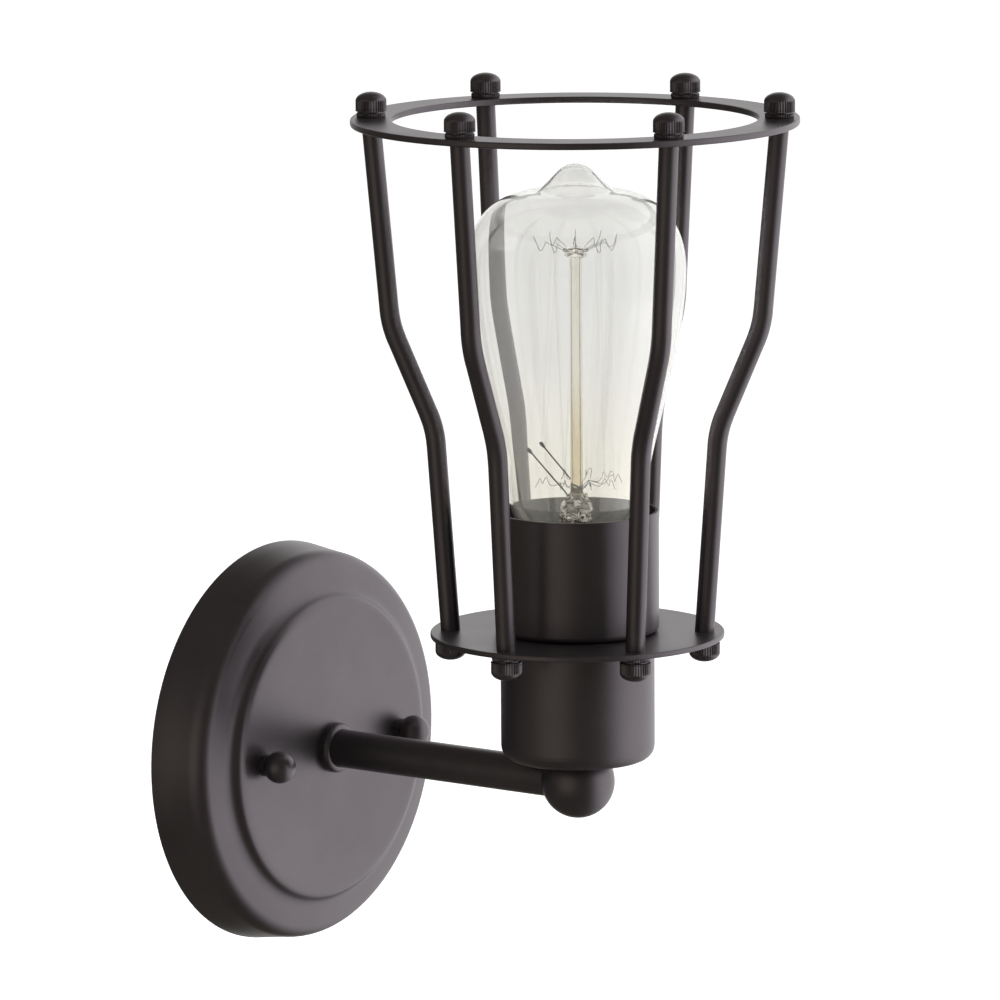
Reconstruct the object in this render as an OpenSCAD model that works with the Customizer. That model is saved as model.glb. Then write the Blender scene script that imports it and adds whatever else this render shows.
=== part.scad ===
// Wall light with an open cage of six bent rods round one filament bulb.
// Millimetres. X to the right, Y into the wall, Z up.
// The origin is the middle of the wall plate's rear plane.

/* [Wall plate] */
// Diameter of the round wall plate
plate_d = 120.65; // [116:0.05:130]
// Distance from the wall to the raised middle of the plate
plate_depth = 22; // [20:0.5:28]
// Height of the outer wall, before its rounded edge
plate_rim_h = 12.4; // [10:0.1:13]
// How much the outer wall leans in over its height
plate_lean = 1; // [0.5:0.1:1.5]
// Radius of the rounded outer edge
plate_edge_r = 5; // [3:0.1:6]
// Diameter of the raised middle
plate_mid_d = 91; // [86:0.5:95]
// Height of the step round the raised middle
plate_step_h = 2.6; // [2:0.1:4]
// Thickness of the pressed plate
plate_wall = 1.2; // [0.9:0.1:1.6]

/* [Wall fixing] */
// How far the strap behind the plate goes on past each wall box screw
strap_past = 7.55; // [7:0.05:9]
// Width of the strap
strap_w = 19; // [17:0.5:22]
// Thickness of the strap
strap_t = 2.4; // [1.8:0.1:3]
// Distance from a stud to the wall box screw beside it
screw_step = 11.1125; // [9:0.0125:13]
// Length of a box screw under its head
box_screw_l = 12.25; // [12:0.125:19]
// Distance between the two studs that hold the plate
stud_spacing = 66.675; // [64:0.1:70]
// Thread diameter of the studs and the box screws
screw_d = 4.1656; // [3.5:0.1:4.6]

/* [Ball nuts] */
// Diameter of the ball nuts
ball_nut_d = 9.6; // [8.5:0.1:11]
// Diameter of the neck under a ball nut
nut_neck_d = 6.6; // [5.8:0.1:8]
// Height of a ball nut's middle above the plate
ball_nut_h = 5.2; // [4.6:0.1:6.5]

/* [Arm] */
// Distance from the wall to the lamp axis
reach = 112; // [104:1:135]
// Outer diameter of the arm tube
arm_d = 11.4; // [11:0.1:12.5]
// Length of the collar on the plate
collar_l = 3.2; // [2:0.1:5]
// Diameter of the collar on the plate
collar_d = 15; // [14:0.1:18]
// Diameter of the elbow ball
elbow_d = 21.6; // [21:0.1:25]
// Height of the elbow ball's flat top over the arm axis
elbow_seat = 6.9; // [6.5:0.1:7.5]
// How far the arm tube goes into the elbow ball, from the ball's middle out
arm_stop = 6.5; // [6:0.1:7.5]
// Outer diameter of the threaded pipe nipples
nipple_d = 9.5; // [9:0.1:9.7]
// Bore of the threaded pipe nipples
nipple_bore = 7.2; // [6.8:0.1:7.6]

/* [Cup and sleeve] */
// Diameter of the lower cup
cup_d = 45.1; // [44:0.1:52]
// Height of the lower cup
cup_h = 36.5; // [34:0.1:40]
// Radius of the lower cup's rounded bottom edge
cup_edge_r = 4.3; // [3:0.1:6]
// Diameter of the upper sleeve
sleeve_d = 47.9; // [46.5:0.1:54]
// Height of the upper sleeve
sleeve_h = 35.7; // [30:0.1:38]
// Radius of the sleeve's rounded bottom edge
sleeve_edge_r = 1.8; // [1:0.1:3]
// Thickness of the cup and sleeve walls
cup_wall = 1; // [0.8:0.1:1.3]

/* [Cage] */
// Outer diameter of the top ring
ring_d = 130.175; // [122:0.5:145]
// Inner diameter of the top ring
ring_bore = 106.4; // [100:0.2:110]
// Thickness of the top ring
ring_t = 1.9; // [1.4:0.1:2.6]
// Height of the top ring's upper face over the arm axis
ring_top = 195.8; // [188:0.1:215]
// Diameter of the base disc
disc_d = 86; // [82:0.5:96]
// Thickness of the base disc
disc_t = 1.6; // [1.2:0.1:2.4]
// Distance of the rods from the edge of the base disc
rod_inset = 5.8; // [5.4:0.1:8]
// Diameter of a cage rod
rod_d = 5.7; // [4.6:0.1:6.2]
// Diameter of the threaded pin at each end of a rod
rod_pin_d = 3.9; // [3.2:0.1:4.2]
// Distance of a rod's lower bend from the lamp axis
low_bend_x = 41.3; // [38:0.1:44]
// Height of a rod's lower bend over the base disc
low_bend_h = 59.5; // [50:0.5:64]
// Distance of a rod's upper bend from the lamp axis
high_bend_x = 54; // [50:0.1:57]
// Height of a rod's upper bend over the base disc
high_bend_h = 90; // [84:0.5:100]
// Bending radius of the rods
bend_r = 30; // [15:1:40]
// Turn of the cage about the lamp axis, in degrees
cage_turn = 2; // [-10:0.5:10]

/* [Cap nuts] */
// Diameter of a knurled cap nut
cap_nut_d = 9.1; // [8:0.1:10]
// Height of a knurled cap nut
cap_nut_h = 7.4; // [6.8:0.1:8.6]
// Height of the domed top of a cap nut
cap_dome_h = 2.6; // [2:0.1:3.4]
// Height of the plain foot of a cap nut
cap_foot_h = 1.3; // [0.8:0.1:1.8]

/* [Socket] */
// Outer diameter of the socket barrel
barrel_d = 37; // [36:0.1:38]
// Height of the cap that closes the socket from below
socket_cap_h = 22; // [20:0.5:23]
// Height of the socket barrel
barrel_h = 36; // [34:0.5:38]
// Thickness of the barrel's floor
barrel_floor = 5; // [4:0.1:6]
// Inner diameter of the screw shell
shell_bore = 26.8; // [26.6:0.05:27.4]
// Thickness of the screw shell and the centre contact
contact_t = 0.5; // [0.4:0.05:0.6]
// Height of the ring that clamps the sleeve
clamp_ring_h = 4; // [3:0.1:6]
// Gap between the clamping ring and the sleeve round it
clamp_gap = 1.45; // [1.2:0.05:2.4]

/* [Bulb] */
// Widest diameter of the bulb
bulb_d = 64.2; // [60:0.2:72]
// Length of the bulb from its contact to its tip
bulb_l = 142; // [134:0.5:150]
// Height of the bulb's widest place over its contact
belly_h = 111; // [104:0.5:116]
// Diameter of the bulb's neck where it leaves the sleeve
neck_d = 39.2; // [36:0.2:41]
// Thickness of the bulb's glass
glass_t = 0.8; // [0.6:0.1:1.1]
// Gap between the screw cap and the shell that it screws into
cap_gap = 0.3; // [0.2:0.05:0.5]
// Height of the screw cap with its insulator and contact
cap_h = 27; // [25:0.5:28]
// Radius of the filament cage
filament_r = 12.6; // [10:0.1:14]
// Wire diameter of the filament
filament_d = 0.4; // [0.3:0.05:0.6]
// Number of loops at each end of the filament cage
filament_loops = 10; // [6:1:12]

/* [Hidden] */
$fn = 64;

// Fits
fit = 0.05;
hole_gap = 0.15;
part_gap = 0.3;
over = 1;

// Finishes
bronze = "#4a4446";
steel = "#b9bcc0";
brass = "#c9a24d";

// Heights over the arm axis, from the elbow upwards
nut_t = 3.2;
nut_flat = 14.3;
cup_top = elbow_seat + cup_h;
disc_top = cup_top + disc_t;
cap_z = elbow_seat + cup_wall + nut_t;
barrel_z = cap_z + socket_cap_h;
sleeve_floor = disc_top + cup_wall;
ring_under = ring_top - ring_t;
contact_z = barrel_z + barrel_floor;
contact_lift = 1.6;
bulb_z = contact_z + contact_lift + contact_t + part_gap / 2;

// Socket
cap_floor = 4;
plug_h = 4;
mouth_h = 2.4;
socket_wall = 2;
clamp_ring_d = sleeve_d - 2 * cup_wall - 2 * clamp_gap;
terminal_x = 9;
terminal_d = 3.4;
terminal_l = 5;
terminal_head_d = 6;

// Strap, its slots, nuts and screws, from the room between a stud and the screw beside it
box_spacing = stud_spacing + 2 * screw_step;
strap_l = box_spacing + 2 * strap_past;
slot_l = 0.9 * screw_step;
stud_nut_flat = 0.78 * screw_step;
box_screw_head_d = 0.7 * screw_step;

// Plate, nipple and strap, measured forward from the wall
plate_inside = plate_depth - plate_wall;
washer_t = 1.2;
stud_back = 3;
ground_x = 12;
stud_in_nut = 6;
nipple_past_nut = 3;
nipple_in_arm = 12;
nipple_in_ball = 3.2;
nipple_in_cap = 2;
nipple_back = plate_inside - washer_t - nut_t - nipple_past_nut;

// Cage
rod_count = 6;
rod_step = 360 / rod_count;
nut_circle_r = (ring_d + ring_bore) / 4;
foot_r = disc_d / 2 - rod_inset;
pin_past = 5;
pin_root = 3;
elbow_grip = 0.5;
elbow_swell = 0.03;
rod_path = [
    [nut_circle_r, ring_under],
    [high_bend_x, disc_top + high_bend_h],
    [low_bend_x, disc_top + low_bend_h],
    [foot_r, disc_top]
];

// Wires
wire_d = 2.3;
wire_x = 1.3;
wire_bend = 3.2;
nipple_top = cap_z + cap_floor + nipple_in_cap;
wire_end_x = terminal_x - terminal_head_d / 2 - wire_d / 2 - part_gap;
wire_end_z = barrel_z - plug_h - part_gap;

function unit(v) = v / norm(v);
function arc(c, r, a, b, n = 6) =
    [for (i = [0:n]) c + r * [cos(a + (b - a) * i / n), sin(a + (b - a) * i / n)]];
function bezier(p, t) =
    pow(1 - t, 3) * p[0] + 3 * t * pow(1 - t, 2) * p[1] + 3 * t * t * (1 - t) * p[2] + pow(t, 3) * p[3];
function bezier_way(p, t) =
    unit(pow(1 - t, 2) * (p[1] - p[0]) + 2 * t * (1 - t) * (p[2] - p[1]) + t * t * (p[3] - p[2]));
// Points of a curve, moved to its left by a wall
function wall_curve(p, wall, n = 8) = [
    for (i = [0:n])
        let (w = bezier_way(p, i / n))
        bezier(p, i / n) + wall * [-w[1], w[0]]
];

// Places a shape made on Z so that it stands out of the wall from the plate's axis
module from_wall(x = 0, depth = 0) {
    translate([x, -depth, 0])
        rotate([90, 0, 0])
            children();
}

// Moves a shape to the lamp axis at a height
module on_lamp(z = 0) {
    translate([0, -reach, z])
        children();
}

// Repeats a shape round the lamp axis, one at each rod
module at_rods(r, z) {
    for (i = [0:rod_count - 1])
        on_lamp(z)
            rotate([0, 0, cage_turn + i * rod_step])
                translate([r, 0, 0])
                    children();
}

module ring(outer, inner, h) {
    difference() {
        cylinder(d = outer, h = h);
        translate([0, 0, -over])
            cylinder(d = inner, h = h + 2 * over);
    }
}

module hex_nut(bore, flat, h) {
    difference() {
        intersection() {
            cylinder(d = flat / cos(30), h = h, $fn = 6);
            rotate_extrude()
                polygon([[0, 0], [flat / 2, 0], [flat / 2 / cos(30), h / 4], [flat / 2 / cos(30), 3 * h / 4],
                         [flat / 2, h], [0, h]]);
        }
        translate([0, 0, -over])
            cylinder(d = bore + 2 * fit, h = h + 2 * over);
    }
}

// One wire: a tube of sides swept along points, each with a direction to line its sides up with
module wire_along(points, refs, d, sides = 8) {
    n = len(points);
    function way(i) = i == 0 ? unit(points[1] - points[0])
        : i == n - 1 ? unit(points[n - 1] - points[n - 2])
        : unit(unit(points[i + 1] - points[i]) + unit(points[i] - points[i - 1]));
    rings = [
        for (i = [0:n - 1])
            let (w = way(i), u = unit(refs[i] - (refs[i] * w) * w), v = cross(w, u))
            for (k = [0:sides - 1])
                points[i] + d / 2 * (cos(360 * k / sides) * u + sin(360 * k / sides) * v)
    ];
    sides_faces = [
        for (i = [0:n - 2], k = [0:sides - 1])
            let (a = i * sides + k, b = i * sides + (k + 1) % sides)
            each [[a, a + sides, b + sides], [a, b + sides, b]]
    ];
    first = [for (k = [1:sides - 2]) [0, k, k + 1]];
    last = [for (k = [1:sides - 2]) let (o = (n - 1) * sides) [o, o + k + 1, o + k]];
    polyhedron(points = rings, faces = concat(sides_faces, first, last), convexity = 10);
}

// Wall fixing

module wall_bracket() {
    color(steel)
        from_wall()
            linear_extrude(strap_t)
                difference() {
                    union() {
                        square([strap_l - strap_w, strap_w], center = true);
                        for (s = [-1, 1])
                            translate([s * (strap_l - strap_w) / 2, 0])
                                circle(d = strap_w);
                    }
                    for (s = [-1, 1]) {
                        translate([s * stud_spacing / 2, 0])
                            circle(d = screw_d + 2 * fit);
                        slot_2d(s * box_spacing / 2, slot_l);
                        translate([s * ground_x, 0])
                            circle(d = screw_d + 2 * fit);
                    }
                }
}

module slot_2d(x, l) {
    slot_w = screw_d + 2 * hole_gap;
    translate([x, 0]) {
        square([l - slot_w, slot_w], center = true);
        for (s = [-1, 1])
            translate([s * (l - slot_w) / 2, 0])
                circle(d = slot_w);
    }
}

// A domed screw head over its seat, with a crossed drive
module screw_head(d, h) {
    drive_w = 1;
    drive_l = 0.55 * d;
    difference() {
        rotate_extrude()
            polygon(concat([[0, 0], [d / 2, 0]], arc([d / 2 - h * 0.7, h * 0.3], h * 0.7, 0, 90), [[0, h]]));
        for (a = [0, 90])
            rotate([0, 0, a])
                translate([-drive_l / 2, -drive_w / 2, h * 0.4])
                    cube([drive_l, drive_w, h]);
    }
}

// Each screw has a neck of its thread's root diameter in the strap, and its thread from there on
module box_screws() {
    head_h = 2.6;
    neck_d = 0.8 * screw_d;
    color(steel)
        for (s = [-1, 1])
            from_wall(s * box_spacing / 2, strap_t) {
                screw_head(box_screw_head_d, head_h);
                translate([0, 0, -strap_t - over])
                    cylinder(d = neck_d, h = strap_t + over + part_gap);
                translate([0, 0, -box_screw_l])
                    cylinder(d = screw_d, h = box_screw_l - strap_t);
            }
}

module mounting_studs() {
    color(steel)
        for (s = [-1, 1])
            from_wall(s * stud_spacing / 2, -stud_back)
                cylinder(d = screw_d, h = stud_back + plate_depth + stud_in_nut);
}

module stud_nuts() {
    stud_nut_t = 3;
    color(steel)
        for (s = [-1, 1])
            from_wall(s * stud_spacing / 2, strap_t)
                hex_nut(screw_d, stud_nut_flat, stud_nut_t);
}

module ground_screw() {
    head_flat = 7.9;
    head_h = 2.8;
    tail = 2;
    color("#3f8f4f")
        from_wall(-ground_x, strap_t) {
            difference() {
                cylinder(d = head_flat / cos(30), h = head_h, $fn = 6);
                translate([-head_flat, -0.5, head_h - 1])
                    cube([2 * head_flat, 1, over + 1]);
            }
            translate([0, 0, -strap_t - tail])
                cylinder(d = screw_d, h = strap_t + tail);
        }
}

// Wall plate

// The angle at which a straight line from a point touches a circle
function touch_deg(point, centre, r) =
    way_deg(centre, point) - acos(r / norm(point - centre));

// Half outline of the pressed plate, as radius and distance from the wall: a wall that leans in, a
// rounded edge, a sloping ring, and the rounded ridge round the raised middle
function plate_line(w) = let (
        r = plate_d / 2 - w,
        e = plate_edge_r - w,
        edge_centre = [r - plate_lean - e, plate_rim_h],
        foot_d = plate_depth - plate_step_h - w,
        ridge_r = plate_mid_d / 2 + 1.5 - w,
        round_r = 2.2,
        foot = [ridge_r + 1.3 + 0.5 * w, foot_d]
    )
    concat(
        [[r, w > 0 ? -over : 0]],
        arc(edge_centre, e, atan2(plate_lean, plate_rim_h), touch_deg(foot, edge_centre, e)),
        [foot, [ridge_r + 0.4, foot_d + 0.2]],
        arc([ridge_r - round_r, plate_depth - round_r - w], round_r, 0, 90, 4)
    );

module backplate() {
    groove_w = 0.5;
    groove_deep = 0.35;
    groove_r = plate_mid_d / 2;
    color(bronze)
        from_wall()
            difference() {
                rotate_extrude()
                    polygon(concat([[0, 0]], plate_line(0), [[0, plate_depth]]));
                rotate_extrude()
                    polygon(concat([[0, -over]], plate_line(plate_wall), [[0, plate_inside]]));
                translate([0, 0, plate_depth - groove_deep])
                    ring(2 * (groove_r + groove_w / 2), 2 * (groove_r - groove_w / 2), over);
                cylinder(d = nipple_d + 2 * hole_gap, h = plate_depth + over);
                for (s = [-1, 1])
                    translate([s * stud_spacing / 2, 0, 0])
                        cylinder(d = screw_d + 2 * hole_gap, h = plate_depth + over);
            }
}

module ball_nut(side) {
    color(bronze)
        from_wall(side * stud_spacing / 2, plate_depth)
            difference() {
                union() {
                    cylinder(d = nut_neck_d, h = ball_nut_h);
                    translate([0, 0, ball_nut_h])
                        sphere(d = ball_nut_d);
                }
                translate([0, 0, -over])
                    cylinder(d = screw_d + 2 * fit, h = over + stud_in_nut + part_gap);
            }
}

module ball_nut_left() {
    ball_nut(-1);
}

module ball_nut_right() {
    ball_nut(1);
}

// Arm and elbow

module pipe_nipple(l) {
    color(steel)
        ring(nipple_d, nipple_bore, l);
}

module arm_nipple() {
    from_wall(0, nipple_back)
        pipe_nipple(plate_depth + nipple_in_arm - nipple_back);
}

module arm_washer() {
    washer_d = 17;
    color(steel)
        from_wall(0, plate_inside - washer_t)
            ring(washer_d, nipple_d + 2 * hole_gap, washer_t);
}

module arm_nut() {
    color(brass)
        from_wall(0, plate_inside - washer_t - nut_t)
            hex_nut(nipple_d, nut_flat, nut_t);
}

module arm_collar() {
    round_r = min(2.2, (collar_d - arm_d) / 2 - 0.3, collar_l - 0.5);
    color(bronze)
        from_wall(0, plate_depth)
            rotate_extrude()
                polygon(concat(
                    [[arm_d / 2 + fit, 0], [collar_d / 2, 0]],
                    arc([collar_d / 2 - round_r, collar_l - round_r], round_r, 0, 90),
                    [[arm_d / 2 + fit, collar_l]]
                ));
}

module arm_tube() {
    color(bronze)
        from_wall(0, plate_depth)
            ring(arm_d, nipple_d + 2 * fit, reach - arm_stop - plate_depth);
}

module elbow_ball() {
    way_d = nipple_bore + 0.4;
    arm_hole = elbow_d / 2 - arm_stop + over;
    color(bronze)
        on_lamp()
            difference() {
                sphere(d = elbow_d);
                translate([-elbow_d, -elbow_d, elbow_seat])
                    cube([2 * elbow_d, 2 * elbow_d, elbow_d]);
                rotate([-90, 0, 0]) {
                    cylinder(d = way_d, h = elbow_d);
                    translate([0, 0, arm_stop])
                        cylinder(d = arm_d + 2 * fit, h = arm_hole);
                }
                sphere(d = way_d);
                cylinder(d = way_d, h = elbow_d);
                translate([0, 0, elbow_seat - nipple_in_ball])
                    cylinder(d = nipple_d + 2 * fit, h = elbow_d);
            }
}

module cup_nipple() {
    on_lamp(elbow_seat - nipple_in_ball)
        pipe_nipple(nipple_in_ball + cap_z + cap_floor + nipple_in_cap - elbow_seat);
}

// Cup, sleeve and base disc

// An open cup with a rounded bottom edge and a hole in its floor
module spun_cup(d, h, edge, wall, hole) {
    lip = wall / 4;
    rotate_extrude()
        polygon(concat(
            [[hole / 2, 0]],
            arc([d / 2 - edge, edge], edge, -90, 0),
            arc([d / 2 - lip, h - lip], lip, 0, 90, 3),
            [[d / 2 - wall, h]],
            arc([d / 2 - edge, edge], edge - wall, 0, -90),
            [[hole / 2, wall]]
        ));
}

module socket_cup() {
    color(bronze)
        on_lamp(elbow_seat)
            spun_cup(cup_d, cup_h, cup_edge_r, cup_wall, nipple_d + 2 * hole_gap);
}

module cup_nut() {
    color(brass)
        on_lamp(elbow_seat + cup_wall)
            hex_nut(nipple_d, nut_flat, nut_t);
}

module cage_base_disc() {
    edge = 0.4;
    color(bronze)
        difference() {
            on_lamp(cup_top)
                rotate_extrude()
                    polygon(concat(
                        [[barrel_d / 2 + part_gap, 0]],
                        arc([disc_d / 2 - edge, edge], edge, -90, 0, 3),
                        arc([disc_d / 2 - edge, disc_t - edge], edge, 0, 90, 3),
                        [[barrel_d / 2 + part_gap, disc_t]]
                    ));
            at_rods(foot_r, cup_top - over)
                cylinder(d = rod_pin_d + 2 * hole_gap, h = disc_t + 2 * over);
        }
}

module socket_sleeve() {
    color(bronze)
        on_lamp(disc_top)
            spun_cup(sleeve_d, sleeve_h, sleeve_edge_r, cup_wall, barrel_d + 2 * part_gap);
}

module clamp_ring() {
    grips = 24;
    grip_d = 1.6;
    color("#e8e4da")
        on_lamp(sleeve_floor)
            difference() {
                ring(clamp_ring_d, barrel_d + 2 * fit, clamp_ring_h);
                for (i = [0:grips - 1])
                    rotate([0, 0, i * 360 / grips])
                        translate([clamp_ring_d / 2 + grip_d / 4, 0, -over])
                            cylinder(d = grip_d, h = clamp_ring_h + 2 * over);
            }
}

// Cage

function way_deg(a, b) = atan2(b[1] - a[1], b[0] - a[0]);
function turn_deg(p, i) = way_deg(p[i], p[i + 1]) - way_deg(p[i - 1], p[i]);
function cut_back(p, i) = i == 0 || i == len(p) - 1 ? -2 : bend_r * tan(abs(turn_deg(p, i)) / 2);

// A round rod along a path of straight runs and round bends, in the XY plane.
// The straight runs go a little way into the bends, which are a hair thicker.
module bent_rod(p, d) {
    last = len(p) - 1;
    for (i = [0:last - 1]) {
        way = way_deg(p[i], p[i + 1]);
        into_first = i == 0 ? 0 : elbow_grip;
        into_last = i == last - 1 ? 0 : elbow_grip;
        run = norm(p[i + 1] - p[i]) - cut_back(p, i) - cut_back(p, i + 1) + into_first + into_last;
        translate(p[i] + (cut_back(p, i) - into_first) * [cos(way), sin(way)])
            rotate([0, 0, way])
                rotate([0, 90, 0])
                    cylinder(d = d, h = run);
    }
    for (i = [1:last - 1]) {
        way = way_deg(p[i - 1], p[i]);
        turn = turn_deg(p, i);
        side = sign(turn);
        start = p[i] - cut_back(p, i) * [cos(way), sin(way)];
        centre = start + side * bend_r * [-sin(way), cos(way)];
        translate(centre)
            rotate([0, 0, way - 90 * side + min(0, turn)])
                rotate_extrude(angle = abs(turn))
                    translate([bend_r, 0])
                        circle(d = d + 2 * elbow_swell);
    }
}

// The rod's bent part ends flat on the ring and on the disc, and its pins go on into the cap nuts
module cage_rod(i) {
    wide = ring_d;
    color(bronze)
        on_lamp()
            rotate([0, 0, cage_turn + (i - 1) * rod_step]) {
                intersection() {
                    rotate([90, 0, 0])
                        bent_rod(rod_path, rod_d);
                    translate([0, -wide / 2, disc_top])
                        cube([wide, wide, ring_under - disc_top]);
                }
                translate([nut_circle_r, 0, ring_under - pin_root])
                    cylinder(d = rod_pin_d, h = pin_root + ring_t + pin_past);
                translate([foot_r, 0, cup_top - pin_past])
                    cylinder(d = rod_pin_d, h = pin_past + disc_t + pin_root);
            }
}

module cage_top_ring() {
    edge = 0.45;
    color(bronze)
        difference() {
            on_lamp(ring_under)
                rotate_extrude()
                    polygon(concat(
                        arc([ring_bore / 2 + edge, edge], edge, 180, 270, 3),
                        arc([ring_d / 2 - edge, edge], edge, -90, 0, 3),
                        arc([ring_d / 2 - edge, ring_t - edge], edge, 0, 90, 3),
                        arc([ring_bore / 2 + edge, ring_t - edge], edge, 90, 180, 3)
                    ));
            at_rods(nut_circle_r, ring_under - over)
                cylinder(d = rod_pin_d + 2 * hole_gap, h = ring_t + 2 * over);
        }
}

// A cap nut on its seat: foot, groove, knurled band and dome, bored for the rod's pin
module cap_nut() {
    r = cap_nut_d / 2;
    foot_r = r - 0.3;
    groove_r = r - 0.7;
    groove_h = 0.4;
    band_z = cap_foot_h + groove_h;
    dome_z = cap_nut_h - cap_dome_h;
    steps = 8;
    difference() {
        rotate_extrude()
            polygon(concat(
                [[0, 0], [foot_r, 0], [foot_r, cap_foot_h], [groove_r, cap_foot_h],
                 [groove_r, band_z], [r, band_z]],
                [for (k = [0:steps]) [r * cos(90 * k / steps), dome_z + cap_dome_h * sin(90 * k / steps)]]
            ));
        translate([0, 0, -over])
            cylinder(d = rod_pin_d + 2 * fit, h = over + pin_past + part_gap);
    }
}

module top_cap_nuts() {
    color(bronze)
        at_rods(nut_circle_r, ring_top)
            cap_nut();
}

module bottom_cap_nuts() {
    color(bronze)
        at_rods(foot_r, cup_top)
            mirror([0, 0, 1])
                cap_nut();
}

// Socket

module socket_cap() {
    edge = 2;
    color("#2b2623")
        on_lamp(cap_z)
            difference() {
                rotate_extrude()
                    polygon([[0, 0], [barrel_d / 2 - edge, 0], [barrel_d / 2, edge],
                             [barrel_d / 2, socket_cap_h], [0, socket_cap_h]]);
                translate([0, 0, cap_floor])
                    cylinder(d = barrel_d - 2 * socket_wall, h = socket_cap_h);
                translate([0, 0, -over])
                    cylinder(d = nipple_d + 2 * fit, h = socket_cap_h);
            }
}

module socket_barrel() {
    pit_d = shell_bore + 2 * contact_t + 2 * fit;
    mouth_wider = 2.6;
    color("#2b2623")
        on_lamp(barrel_z)
            difference() {
                union() {
                    cylinder(d = barrel_d, h = barrel_h);
                    translate([0, 0, -plug_h])
                        cylinder(d = barrel_d - 2 * socket_wall - 2 * hole_gap, h = plug_h);
                }
                translate([0, 0, barrel_floor])
                    cylinder(d = pit_d, h = barrel_h);
                translate([0, 0, barrel_h - mouth_h])
                    cylinder(d = pit_d + mouth_wider, h = barrel_h);
                for (s = [-1, 1])
                    translate([s * terminal_x, 0, -plug_h - over])
                        cylinder(d = terminal_d + 2 * fit, h = terminal_l + over + part_gap);
            }
}

module terminal_screws() {
    head_h = 2.2;
    color(brass)
        for (s = [-1, 1])
            on_lamp(barrel_z - plug_h)
                translate([s * terminal_x, 0, 0]) {
                    cylinder(d = terminal_d, h = terminal_l);
                    mirror([0, 0, 1])
                        screw_head(terminal_head_d, head_h);
                }
}

module screw_shell() {
    below_mouth = 0.2;
    shell_h = barrel_h - barrel_floor - mouth_h - below_mouth;
    shell_lip = 3;
    color(brass)
        on_lamp(contact_z)
            difference() {
                cylinder(d = shell_bore + 2 * contact_t, h = shell_h);
                translate([0, 0, contact_t])
                    cylinder(d = shell_bore, h = shell_h);
                translate([0, 0, -over])
                    cylinder(d = shell_bore - 2 * shell_lip, h = shell_h);
            }
}

// The contact's foot lies on the barrel's floor, and its tongue stands up to the bulb
module centre_contact() {
    tongue_w = 6;
    end_x = 7.5;
    tongue_end_x = 4.5;
    fold_x = -3.6;
    top_x = -1.6;
    back = 0.3;
    rise = contact_lift;
    color(brass)
        on_lamp(contact_z)
            rotate([90, 0, 0])
                linear_extrude(tongue_w, center = true)
                    polygon([
                        [-end_x, 0], [fold_x, 0], [top_x, rise], [tongue_end_x, rise],
                        [tongue_end_x, rise + contact_t], [top_x - back, rise + contact_t],
                        [fold_x - back, contact_t], [-end_x, contact_t]
                    ]);
}

// One wire from the arm's nipple, round the elbow and up to its terminal
function wire_route(s) = concat(
    [[s * wire_x, -nipple_back, 0], [s * wire_x, -reach / 2, 0]],
    [for (a = [0:15:90]) [s * wire_x, -reach + wire_bend * (1 - sin(a)), wire_bend * (1 - cos(a))]],
    [
        [s * wire_x, -reach, nipple_top],
        [s * (wire_x + 0.4), -reach, nipple_top + 2],
        [s * (wire_end_x - 0.2), -reach, wire_end_z - 3],
        [s * wire_end_x, -reach, wire_end_z]
    ]
);

module inner_wire(s) {
    route = wire_route(s);
    wire_along(route, [for (p = route) [1, 0, 0]], wire_d);
}

module hot_wire() {
    color("#1c1c1e")
        inner_wire(1);
}

module neutral_wire() {
    color("#e9e7e0")
        inner_wire(-1);
}

// Bulb, measured from its contact upwards

belly_r = bulb_d / 2;
neck_r = neck_d / 2;
neck_over_sleeve = 2.2;
neck_h = disc_top + sleeve_h + neck_over_sleeve - bulb_z;
cap_d = shell_bore - 2 * cap_gap;
cap_foot_r = cap_d / 2 - 2.5;
throat_r = cap_d / 2 - contact_t - fit;
throat_h = cap_h - 4;
tip_r = 4.6;
tip_h = 1.2;
insulator_z = 3.4;
nipple_r = 6;
nipple_h = 7.7;
shoulder_r = 12;
shoulder_h = bulb_l - nipple_h;

// Each curve has its two ends and two points that pull it, as shares of the height between its ends
dome_h = shoulder_h - belly_h;
belly_to_neck = belly_h - neck_h;
neck_to_cap = neck_h - cap_h;
curve_nipple = [[0, bulb_l], [nipple_r, bulb_l], [1.25 * nipple_r, shoulder_h + 0.12 * nipple_h],
                [shoulder_r, shoulder_h]];
curve_dome = [[shoulder_r, shoulder_h], [0.78 * belly_r, shoulder_h - 0.05 * dome_h],
              [belly_r, belly_h + 0.56 * dome_h], [belly_r, belly_h]];
curve_belly = [[belly_r, belly_h], [belly_r, belly_h - 0.314 * belly_to_neck],
               [1.097 * neck_r, neck_h + 0.256 * belly_to_neck], [neck_r, neck_h]];
curve_neck = [[neck_r, neck_h], [0.95 * neck_r, neck_h - 0.45 * neck_to_cap],
              [throat_r, cap_h + 0.39 * neck_to_cap], [throat_r, cap_h]];

function glass_line(w) = concat(
    wall_curve(curve_nipple, -w, 6),
    [for (p = wall_curve(curve_dome, -w)) if (p[0] > shoulder_r + 0.5) p],
    [for (p = wall_curve(curve_belly, -w, 10)) if (p[1] < belly_h - 0.5) p],
    [for (p = wall_curve(curve_neck, -w)) if (p[1] < neck_h - 0.5) p],
    [[throat_r - w, throat_h - (w > 0 ? over : 0)]]
);

module bulb_glass() {
    color([0.93, 0.93, 0.9, 0.35])
        on_lamp(bulb_z)
            difference() {
                rotate_extrude()
                    polygon(concat([[0, throat_h]], glass_line(0)));
                rotate_extrude()
                    polygon(concat([[0, throat_h - over], [0, bulb_l - glass_t]],
                        [for (p = glass_line(glass_t)) if (p[0] > glass_t) p]));
            }
}

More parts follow.
